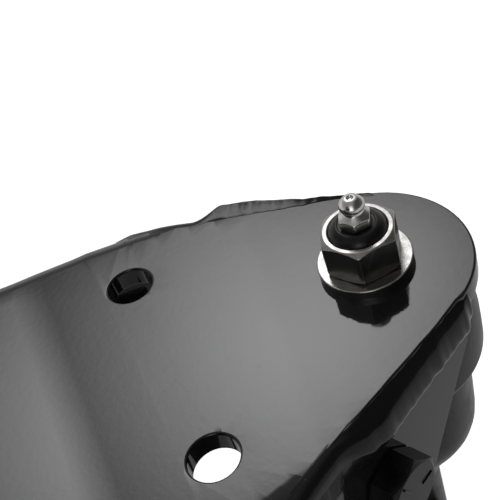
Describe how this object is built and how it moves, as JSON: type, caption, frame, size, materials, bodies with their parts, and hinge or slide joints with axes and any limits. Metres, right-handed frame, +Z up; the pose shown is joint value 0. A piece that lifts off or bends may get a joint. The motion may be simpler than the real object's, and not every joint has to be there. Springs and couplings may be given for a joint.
{
  "type": "fifth wheel hitch",
  "caption": "Trailer coupling for a pickup bed: cross beams with quarter-turn feet, centre rails, tilting head with skid plate and kingpin jaws.",
  "frame": {"origin": "on the floor, midway between the four feet", "axes": "+Z up, +Y towards the cab, +X to the right"},
  "size_m": [1.017, 0.667, 0.4203],
  "materials": {
    "gloss_black": "glossy black powder coat",
    "cast_black": "black-painted casting",
    "black_steel": "black oxide",
    "bright_zinc": "bright zinc plate",
    "yellow_zinc": "yellow zinc plate",
    "bare_steel": "machined, lightly oiled",
    "polymer": "matt polymer",
    "red_grip": "red vinyl dip"
  },
  "bodies": {
    "base": {"front_beam_channel": "gloss_black", "roll_support_front": "gloss_black", "rear_beam_channel": "gloss_black", "roll_support_rear": "gloss_black", "anchor_barrel_front_right": "cast_black", "gusset_outer_front_right": "gloss_black", "gusset_inner_front_right": "gloss_black", "side_bolt_front_right": "black_steel", "anchor_barrel_front_left": "cast_black", "gusset_outer_front_left": "gloss_black", "gusset_inner_front_left": "gloss_black", "side_bolt_front_left": "black_steel", "anchor_barrel_rear_right": "cast_black", "gusset_outer_rear_right": "gloss_black", "gusset_inner_rear_right": "gloss_black", "side_bolt_rear_right": "black_steel", "anchor_barrel_rear_left": "cast_black", "gusset_outer_rear_left": "gloss_black", "gusset_inner_rear_left": "gloss_black", "side_bolt_rear_left": "black_steel", "centre_rail_right": "gloss_black", "centre_rail_left": "gloss_black", "roll_pin": "bright_zinc"},
    "cradle": {"cradle": "gloss_black", "pitch_bushing_right": "polymer", "pitch_bushing_left": "polymer", "pitch_pin_right": "bright_zinc", "pitch_pin_left": "bright_zinc"},
    "head": {"head_frame": "gloss_black", "skid_plate": "gloss_black", "keeper_plate": "gloss_black", "jaw_pin_right": "bright_zinc", "jaw_pin_left": "bright_zinc", "cam_pin": "bright_zinc", "handle_spring": "bare_steel"},
    "jaw_right": {"jaw_right": "bare_steel"},
    "jaw_left": {"jaw_left": "bare_steel"},
    "handle": {"cam_handle": "yellow_zinc", "handle_grip": "red_grip"},
    "safety_pin": {"safety_pin": "bright_zinc"},
    "anchor_front_right": {"anchor_front_right": "black_steel", "anchor_lever_front_right": "bright_zinc", "washer_front_right": "bright_zinc", "nut_front_right": "bright_zinc", "grease_fitting_front_right": "bright_zinc"},
    "anchor_front_left": {"anchor_front_left": "black_steel", "anchor_lever_front_left": "bright_zinc", "washer_front_left": "bright_zinc", "nut_front_left": "bright_zinc", "grease_fitting_front_left": "bright_zinc"},
    "anchor_rear_right": {"anchor_rear_right": "black_steel", "anchor_lever_rear_right": "bright_zinc", "washer_rear_right": "bright_zinc", "nut_rear_right": "bright_zinc", "grease_fitting_rear_right": "bright_zinc"},
    "anchor_rear_left": {"anchor_rear_left": "black_steel", "anchor_lever_rear_left": "bright_zinc", "washer_rear_left": "bright_zinc", "nut_rear_left": "bright_zinc", "grease_fitting_rear_left": "bright_zinc"}
  },
  "joints": [
    {"name": "cradle_roll", "type": "hinge", "parent": "base", "child": "cradle", "pos_m": [0, 0, 0.278], "axis": [0, 1, 0], "range_deg": [-7, 7]},
    {"name": "head_pitch", "type": "hinge", "parent": "cradle", "child": "head", "pos_m": [0, 0, 0.355], "axis": [1, 0, 0], "range_deg": [-10, 10]},
    {"name": "handle_swing", "type": "hinge", "parent": "head", "child": "handle", "pos_m": [0, 0.1, 0.39], "axis": [0, 0, -1], "range_deg": [0, 60], "stiffness_Nm_per_rad": 2, "springref_deg": -11.46},
    {"name": "jaw_right_open", "type": "hinge", "parent": "head", "child": "jaw_right", "pos_m": [0.048, 0.052, 0.374], "axis": [0, 0, 1], "range_deg": [0, 25]},
    {"name": "jaw_left_open", "type": "hinge", "parent": "head", "child": "jaw_left", "pos_m": [-0.048, 0.052, 0.374], "axis": [0, 0, -1], "range_deg": [0, 25]},
    {"name": "safety_pin_lift", "type": "slide", "parent": "handle", "child": "safety_pin", "axis": [0, 0, 1], "range_m": [0, 0.04]},
    {"name": "anchor_turn_front_right", "type": "hinge", "parent": "base", "child": "anchor_front_right", "pos_m": [0.48, 0.27, 0.08], "axis": [0, 0, -1], "range_deg": [0, 90]},
    {"name": "anchor_turn_front_left", "type": "hinge", "parent": "base", "child": "anchor_front_left", "pos_m": [-0.48, 0.27, 0.08], "axis": [0, 0, 1], "range_deg": [0, 90]},
    {"name": "anchor_turn_rear_right", "type": "hinge", "parent": "base", "child": "anchor_rear_right", "pos_m": [0.48, -0.27, 0.08], "axis": [0, 0, 1], "range_deg": [0, 90]},
    {"name": "anchor_turn_rear_left", "type": "hinge", "parent": "base", "child": "anchor_rear_left", "pos_m": [-0.48, -0.27, 0.08], "axis": [0, 0, -1], "range_deg": [0, 90]}
  ],
  "couplings": [
    {"joint": "jaw_right_open", "follows": "handle_swing", "ratio": 0.4166},
    {"joint": "jaw_left_open", "follows": "handle_swing", "ratio": 0.4166}
  ]
}
